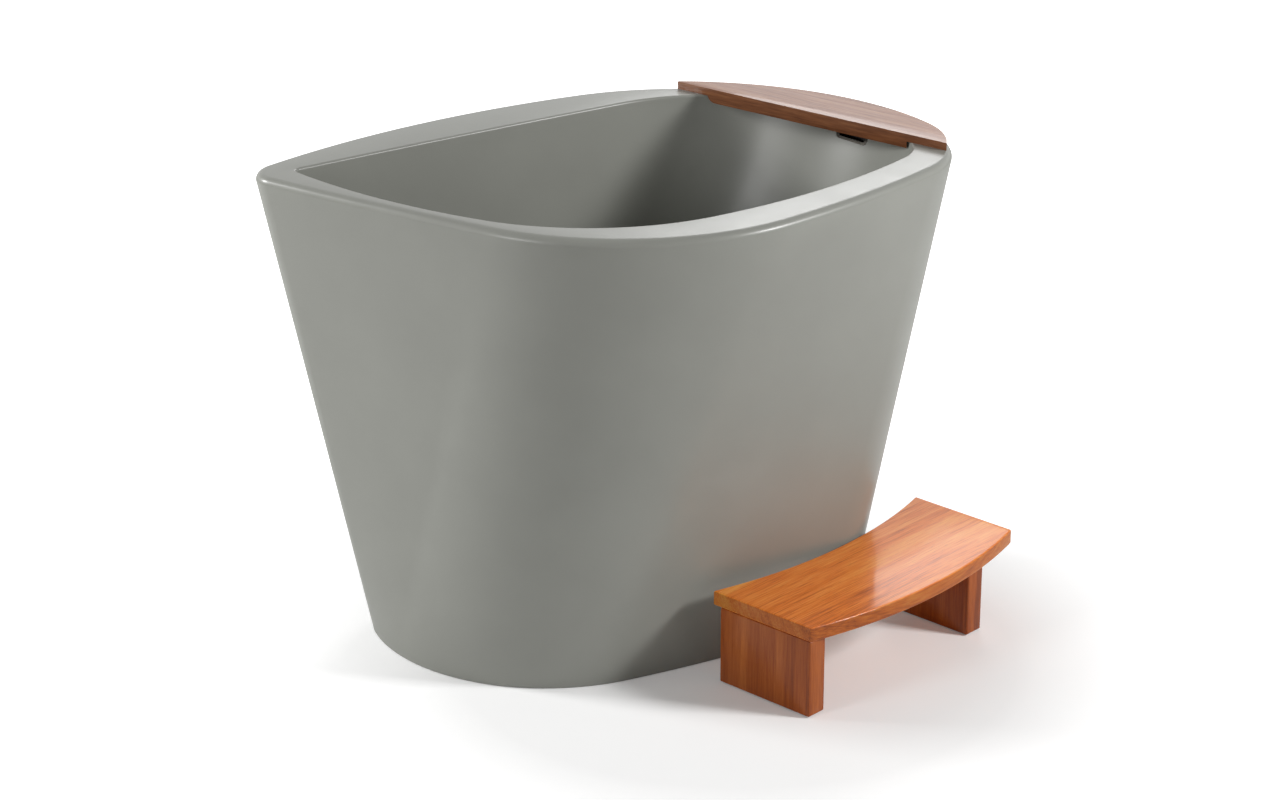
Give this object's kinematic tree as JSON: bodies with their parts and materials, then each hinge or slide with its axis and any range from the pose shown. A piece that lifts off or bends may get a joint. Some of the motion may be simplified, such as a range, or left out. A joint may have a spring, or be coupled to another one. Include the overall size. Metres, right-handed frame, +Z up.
{
  "type": "japanese soaking tub",
  "caption": "Tapered, almond-shaped soaking bath with a broad flat rim, a wooden corner shelf resting on it and a curved wooden step standing at its side.",
  "frame": {"origin": "on the floor, at the sole of the middle support foot, under the middle of the rim's length", "axes": "+X along the bath towards its rounded end with the shelf, +Y across it away from the step, +Z up"},
  "size_m": [1.3309, 0.8818, 0.892],
  "materials": {
    "cast_stone": "satin",
    "stained_wood": "satin",
    "support_board": "matte",
    "polished_steel": "polished",
    "black_plastic": "matte",
    "black_rubber": "matte"
  },
  "bodies": {
    "tub": {"outer_shell": "cast_stone", "inner_basin": "cast_stone", "base_board": "support_board", "support_foot_1": "black_rubber", "support_foot_2": "black_rubber", "support_foot_3": "black_rubber", "support_foot_4": "black_rubber", "support_foot_5": "black_rubber", "drain_flange": "polished_steel", "drain_upper_washer": "black_rubber", "drain_lower_washer": "black_rubber", "drain_locknut": "black_plastic", "drain_tee": "black_plastic", "click_barrel": "polished_steel", "overflow_trim": "polished_steel", "overflow_gasket": "black_rubber", "overflow_box": "black_plastic", "overflow_upper_nut": "black_plastic", "overflow_pipe": "black_plastic", "overflow_bend": "black_plastic", "overflow_link": "black_plastic", "overflow_lower_nut": "black_plastic"},
    "plug": {"plug_cap": "polished_steel", "plug_stem": "polished_steel", "plug_seal": "black_rubber"},
    "shelf": {"shelf_board": "stained_wood"},
    "step": {"step_top": "stained_wood", "step_leg_left": "stained_wood", "step_leg_right": "stained_wood", "step_dowels": "stained_wood", "step_pad_1": "black_rubber", "step_pad_2": "black_rubber", "step_pad_3": "black_rubber", "step_pad_4": "black_rubber"}
  },
  "joints": [
    {"name": "plug_press", "type": "slide", "parent": "tub", "child": "plug", "axis": [0, 0, 1], "range_m": [0, 0.008]},
    {"name": "shelf_lift", "type": "slide", "parent": "tub", "child": "shelf", "axis": [0, 0, 1], "range_m": [0, 0.25]},
    {"name": "step_slide", "type": "slide", "parent": "tub", "child": "step", "axis": [0.6211, -0.7837, 0], "range_m": [0, 0.45]}
  ]
}
